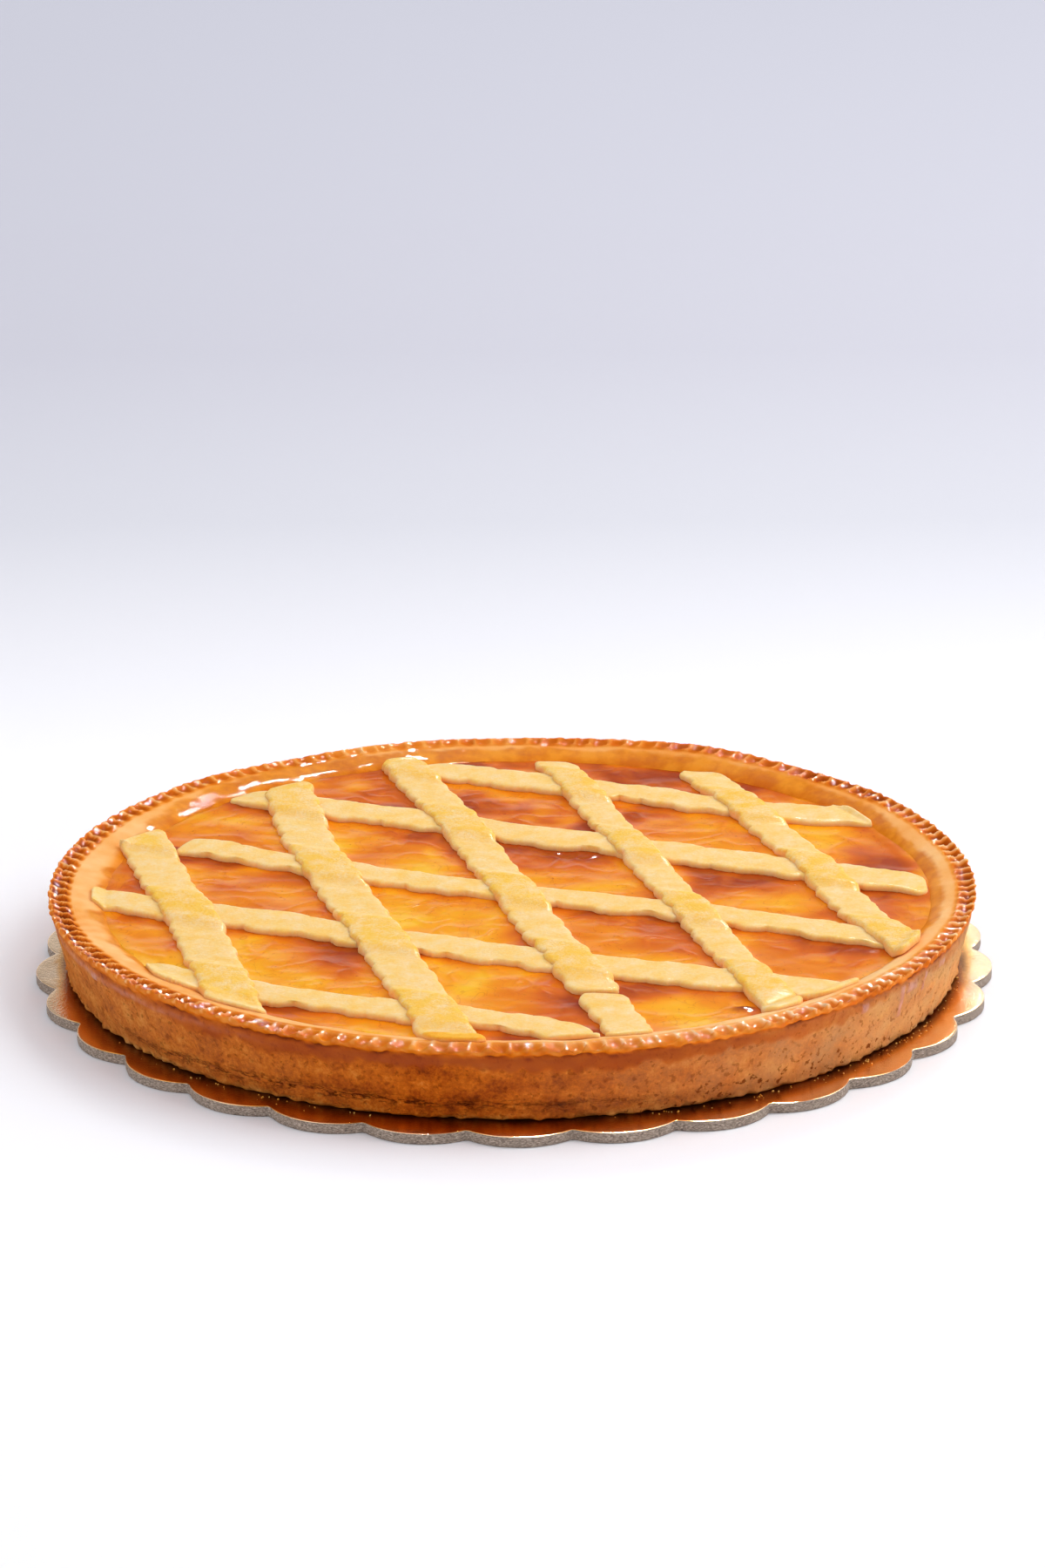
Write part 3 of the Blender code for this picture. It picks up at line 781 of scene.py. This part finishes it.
def make_apricot_jam():
    """Sieved apricot jam, boiled thick: a clear orange gel with red fibres in it, painted darker where the strips
    shade it.
    """
    made, tree, shader, place = new_material("boiled_apricot_jam")
    painted_jam_shade, wrinkle, fruit = (reading(tree, name) for name in ("painted_jam_shade", "wrinkle", "fruit"))
    clouds = grained(tree, place, 32, Detail=1, Roughness=0.4, Distortion=0.6)
    streaks = grained(tree, place, 11, Detail=2, Roughness=0.5, Distortion=1.2)
    specks = grained(tree, place, 1.6, Detail=1)
    clouded = reckoned(tree, "MULTIPLY", clouds, 0.73)
    streaked = reckoned(tree, "MULTIPLY_ADD", streaks, 0.13, clouded)
    # Painted shade darkens the jam's tone.
    shade_darkened = reckoned(tree, "MULTIPLY_ADD", painted_jam_shade, 0.3, streaked)
    tone = reckoned(tree, "MULTIPLY_ADD", wrinkle, 0.04, shade_darkened)
    colour = coloured(
        tree, tone, (0.3, "#ffbc24"), (0.4, "#fca410"), (0.5, "#f28a0a"), (0.62, "#d9640a"), (0.76, "#a53e08")
    )
    off_middle = reckoned(tree, "SUBTRACT", streaks, 0.5)
    distance = reckoned(tree, "ABSOLUTE", off_middle)
    fibre = ranged(tree, distance, 0, 0.012, 0.3, 0)
    threaded = mixed(tree, fibre, colour, "#b83c04")
    fleck = ranged(tree, specks, 0.72, 0.78, 0, 0.5)
    flecked = mixed(tree, fleck, threaded, "#a83404")
    fruited = mixed(tree, fruit, flecked, "#701a04")
    bump = bumped(tree, streaks, 0.0004, 0.15)
    plug(tree, shader, {"Base Color": fruited, "Roughness": 0.13, "IOR": 1.45, "Specular IOR Level": 0})
    plug(tree, shader, {"Normal": bump, "Coat Weight": 0.5, "Coat Roughness": 0.09})
    plug(tree, shader, {"Subsurface Weight": 0.3, "Subsurface Radius": (1, 0.35, 0.08), "Subsurface Scale": 0.004})
    return made


def make_jam():
    jam = shaped_sheet("wrinkled_jam", JAM_COLUMNS, JAM_TOP_ROWS + JAM_SIDE_ROWS, jam_shape)
    finish_piece(jam, make_apricot_jam(), "apricot_jam", "apricot_jam")


# --- lattice strips ---


# A strip's half section, from the middle of its underside round its edge to the middle of its top: the share of the
# half width, how far in from that, the share of the flutes there, and the share of its height.
STRIP_SECTION = (
    (0, 0, 0, 0),
    (0.6, 0, 0, 0),
    (1, 0.35, 1, 0),
    (1, 0.04, 1, 0.12),
    (1, 0.02, 1, 0.34),
    (1, 0.12, 1, 0.6),
    (1, 0.32, 0.97, 0.8),
    (1, 0.64, 0.76, 0.92),
    (1, 1.1, 0.32, 0.98),
    (1, 2, 0.04, 1),
    (1, 3, 0, 1.01),
    (0.3, 0, 0, 1.03),
    (0, 0, 0, 1.03),
)


def skew_along(heading, direction):
    """How far along a strip a section is set for each unit across, for it to lie in a direction."""
    left = np.stack((-heading[:, 1], heading[:, 0]), 1)
    skew = (direction * heading).sum(1) / (direction * left).sum(1)
    return float(np.clip(skew, -LARGEST_SKEW, LARGEST_SKEW)[0])


def wall_skew(line, share):
    point = line.at(np.array([share]))
    return skew_along(line.heading(np.array([share])), np.stack((-point[:, 1], point[:, 0]), 1))


def lift(points, crossed):
    """How far a section of an upper strip is lifted by the lower strips that it crosses."""
    highest = np.zeros(len(points[0]))
    for line in crossed:
        nearest = np.min([line.away(point) for point in points], 0)
        highest = np.maximum(highest, ease((line.half_width + RAMP_CLEAR + RAMP_LENGTH - nearest) / RAMP_LENGTH))
    return highest


def strip_shape(line, crossed, skews, ends_pressed, seed):
    def shape(along, across):
        half_ring = len(STRIP_SECTION) - 1
        ring = np.rint(across * 2 * half_ring).astype(int)
        side = np.where(ring <= half_ring, 1.0, -1.0)
        at_key = np.where(ring <= half_ring, ring, 2 * half_ring - ring)
        width_share, inset, flute_share, height_share = np.array(STRIP_SECTION)[at_key].T
        run = along * line.length
        sided = np.stack((run, 40 * side, 0 * run), 1)
        teeth = round(line.length / FLUTE_PITCH)
        tooth = np.abs(np.sin(math.pi * (along * teeth + 0.45 * drift(sided, 17, seed) + 0.15 * side)))
        flute = 0.6 * FLUTE_DEPTH * (2 * tooth**0.7 - 1.2) * (1 + 0.8 * drift(sided, 8, seed + 1))
        flute += (
            0.5 * drift(sided, 22, seed + 2) + 0.5 * drift(sided, 2.6, seed + 6) + 0.25 * drift(sided, 1.3, seed + 9)
        )
        # What lies straight on the jam wanders more.
        flute += (0 if crossed else min(3, line.length / 40)) * drift(sided, 12, seed + 7)
        reach_out = side * np.maximum(line.half_width * width_share - inset, 0) + side * flute * flute_share
        turns = line.end_share(along, END_LENGTH)
        skew = skews[1] + (skews[0] - skews[1]) * turns[0] + (skews[2] - skews[1]) * turns[1]
        heading = line.heading(along)
        left = np.stack((-heading[:, 1], heading[:, 0]), 1)
        direction = left + heading * skew[:, None]
        middle = line.at(along)
        near_ends = line.end_share(along, PRESSED_LENGTH)
        pressed = np.maximum(near_ends[0] * ends_pressed[0], near_ends[1] * ends_pressed[1])
        thickness = STRIP_THICKNESS + (PRESSED_THICKNESS - STRIP_THICKNESS) * pressed
        from_end = np.minimum(along, 1 - along) * line.length
        corner = np.sqrt(np.clip(1 - (1 - np.clip(from_end / 4, 0, 1)) ** 2, 0, 1))
        point = middle + direction * (reach_out * (0.64 + 0.36 * corner))[:, None]
        edge = direction * line.half_width
        raised = lift((middle - edge, middle, middle + edge), crossed)
        rounding = np.sqrt(np.clip(1 - (1 - np.clip((from_end + 0.3) / 1.6, 0, 1)) ** 2, 0, 1))
        lifted = raised * (STRIP_THICKNESS + 1.5 * GAP) * LIFT_SHARE
        bed = bed_height(point)
        low = bed - 0.3 + np.maximum(lifted - 0.9, 0)
        top = bed + GAP + lifted + thickness * (0.35 + 0.65 * rounding)
        flat = np.stack((*point.T, 0 * run), 1)
        rough = 0.12 * drift(flat, 7, seed + 3) + 0.05 * drift(flat, 2.2, seed + 4)
        top = top + rough * (1 - 0.3 * pressed)
        height = low + (top - low) * height_share
        places = np.stack((point[:, 0] + TART_CENTRE[0], point[:, 1] + TART_CENTRE[1], height), 1)
        side_face = 1 - ease((height_share - 0.3) / 0.6)
        laps_rim = math.hypot(*line.at(np.array([1.0]))[0]) > RIM_LAP
        toasted = laps_rim * ease((np.hypot(*point.T) - 122 + 3 * drift(flat, 5, 8)) / 6)
        values = {"raised": raised, "flank": side_face, "toasted": toasted}
        return places, values

    return shape


def make_pale_lattice():
    """Rolled sweet shortcrust, baked pale and brushed with egg and glaze: creamy, satin, yellower where raised."""
    made, tree, shader, place = new_material("egg_brushed_pale_shortcrust")
    raised, flank, toasted = (reading(tree, name) for name in ("raised", "flank", "toasted"))
    blotch = grained(tree, place, 6, Detail=4, Roughness=0.6)
    crumb = grained(tree, place, 0.9, Detail=3, Roughness=0.65)
    blotched = reckoned(tree, "MULTIPLY", blotch, 0.4)
    graininess = ranged(tree, raised, 0, 1, 0.24, 0.5)
    centred = reckoned(tree, "SUBTRACT", crumb, 0.42)
    sanded = reckoned(tree, "MULTIPLY_ADD", centred, graininess, blotched)
    # Painted light: the side faces are tinted warmer, for the glow the jam throws on them.
    flanked = reckoned(tree, "MULTIPLY_ADD", flank, 0.02, sanded)
    tone = reckoned(tree, "MULTIPLY_ADD", toasted, 0.27, flanked)
    colour = coloured(
        tree, tone, (0.12, "#ffd59c"), (0.27, "#ffc66e"), (0.4, "#ffb644"), (0.58, "#f29820"), (0.75, "#d97010")
    )
    thick = ranged(tree, blotch, 0.42, 0.6, 0.05, 0.5)
    eggy = reckoned(tree, "MULTIPLY", raised, thick)
    brushed = mixed(tree, eggy, colour, "#ffbe34")
    # Painted light: the side faces are coloured a light warm peach, standing in for the jam's glow and lightening
    # their shade.
    jam_glow = reckoned(tree, "MULTIPLY", flank, 0.7)
    edged = mixed(tree, jam_glow, brushed, "#ffb878")
    bump = bumped(tree, crumb, 0.0008, graininess)
    rough = ranged(tree, blotch, 0.3, 0.7, 0.36, 0.5)
    plug(tree, shader, {"Base Color": edged, "Roughness": rough, "Specular IOR Level": 0, "Normal": bump})
    plug(tree, shader, {"Coat Weight": 0.05, "Coat Roughness": 0.2})
    plug(tree, shader, {"Subsurface Weight": 0.6, "Subsurface Radius": (1, 0.74, 0.45), "Subsurface Scale": 0.003})
    return made


def make_lattice():
    material = make_pale_lattice()
    lower_run = LOWER["strip_lower_3"].run[None]
    middle = np.array([0.5])
    rows = 2 * (len(STRIP_SECTION) - 1)
    plans = []
    for name, line in LOWER.items():
        end_skew = wall_skew(line, 1)
        if name == BUTTING_STRIP:
            end_skew = skew_along(line.heading(np.array([1.0])), BROKEN.run[None])
        plans.append((name, line, [], (wall_skew(line, 0), 0, end_skew), (1, 1)))
    for name, line in UPPER.items():
        is_snapped = name == SNAPPED_STRIP
        end_skew = BREAK_SLOPE if is_snapped else wall_skew(line, 1)
        skews = (wall_skew(line, 0), skew_along(line.heading(middle), lower_run), end_skew)
        plans.append((name, line, list(LOWER.values()), skews, (1, int(not is_snapped))))
    plans.append(("strip_broken_end", BROKEN, [], (BREAK_SLOPE, 0, wall_skew(BROKEN, 1)), (0, 1)))
    for number, (name, line, crossed, skews, ends_pressed) in enumerate(plans):
        shape = strip_shape(line, crossed, skews, ends_pressed, 60 + 10 * number)
        strip = shaped_sheet("baked_" + name, round(line.length / STRIP_STEP), rows, shape)
        finish_piece(strip, material, "pale_lattice", name)


# --- floor, light and camera ---


def make_stage():
    bpy.ops.object.select_all(action="DESELECT")
    bpy.ops.mesh.primitive_plane_add(size=FLOOR_SIDE, location=FLOOR_MIDDLE)
    floor = bpy.context.object
    floor.name = "studio_floor"
    bpy.ops.object.transform_apply(location=True)
    made = bpy.data.materials.new("matt_white_board")
    made.use_nodes = True
    tree = made.node_tree
    shader = tree.nodes["Principled BSDF"]
    where = add_node(tree, "TexCoord").outputs["Object"]
    # Painted light: the floor is painted darker and greyer away from the camera, a little lighter again far back,
    # standing in for the light falling off.
    depth = add_node(tree, "SeparateXYZ", {0: where}).outputs[1]
    far = ranged(tree, depth, 0.2, 1.5, 0, 1)
    colour = coloured(
        tree, far, (0, "#f3f3f6"), (0.085, "#e6e6eb"), (0.21, "#d0d1d9"), (0.4, "#c8c8d3"), (0.95, "#d8d9e4")
    )
    plug(tree, shader, {"Base Color": colour, "Roughness": 0.8, "Specular IOR Level": 0.2})
    floor.data.materials.append(made)


def make_lights():
    world = bpy.data.worlds.new("studio")
    bpy.context.scene.world = world
    world.use_nodes = True
    tree = world.node_tree
    sky = tree.nodes["Background"]
    # White boards stand low round the table, with a dimmer gap between them and the lit ceiling.
    height = add_node(tree, "SeparateXYZ", {0: add_node(tree, "TexCoord").outputs["Generated"]}).outputs[2]
    boards = coloured(
        tree, height, (0, "#e6e6ea"), (0.26, "#f6f6f9"), (0.38, "#7a7a84"), (0.6, "#bcbcc2"), (0.95, "#f4f4f8")
    )
    plug(tree, sky, {"Color": boards, "Strength": 0.9})
    # A broad soft light from the right, and the bright panes that show only as glints on what is glazed.
    # Each one's name, place and size in metres, watts, and whether it lights what is matt too.
    lights = (
        ("soft_key", (1.35, 0.3, 1.45), (1.6, 1.6), 23, True),
        ("soft_fill", (-1.3, -0.9, 1.1), (1.3, 1.3), 3.5, True),
        ("pane_left", (0.2, 1.5, 1.4), (0.16, 0.3), 38, False),
        ("pane_right", (0.45, 1.5, 1.4), (0.16, 0.3), 38, False),
        ("pane_above", (0.25, 0.15, 1.6), (0.3, 0.3), 120, False),
    )
    for name, place, (width, height), power, lights_all in lights:
        lamp = bpy.data.lights.new(name, "AREA")
        lamp.shape = "RECTANGLE"
        lamp.size, lamp.size_y = width, height
        lamp.energy = power
        held = bpy.data.objects.new(name, lamp)
        bpy.context.scene.collection.objects.link(held)
        held.location = place
        held.rotation_euler = (-held.location).to_track_quat("-Z", "Y").to_euler()
        held.visible_diffuse = lights_all


def make_camera():
    camera = bpy.data.objects.new("camera", bpy.data.cameras.new("camera"))
    bpy.context.scene.collection.objects.link(camera)
    camera.data.lens = CAMERA_LENS
    camera.data.sensor_width = SENSOR_WIDTH
    camera.data.sensor_fit = "AUTO"
    camera.data.clip_end = 20
    turn = Euler((math.radians(90 - CAMERA_TILT), 0, 0)).to_matrix() @ Matrix.Rotation(CAMERA_ROLL, 3, "Z")
    camera.rotation_mode = "QUATERNION"
    camera.rotation_quaternion = turn.to_quaternion()
    camera.location = CAMERA_PLACE
    bpy.context.scene.camera = camera


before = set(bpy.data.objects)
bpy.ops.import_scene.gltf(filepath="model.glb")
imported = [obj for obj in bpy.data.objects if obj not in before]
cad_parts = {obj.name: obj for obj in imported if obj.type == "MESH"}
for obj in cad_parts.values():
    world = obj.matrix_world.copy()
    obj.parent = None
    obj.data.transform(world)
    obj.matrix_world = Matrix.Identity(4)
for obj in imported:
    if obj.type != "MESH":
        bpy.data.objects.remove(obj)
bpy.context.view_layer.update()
make_camera()
make_stage()
make_lights()
bpy.context.scene.view_settings.view_transform = "Standard"
bpy.context.scene.view_settings.exposure = 0.1
make_card()
make_crust()
make_crumbs()
make_jam()
make_lattice()
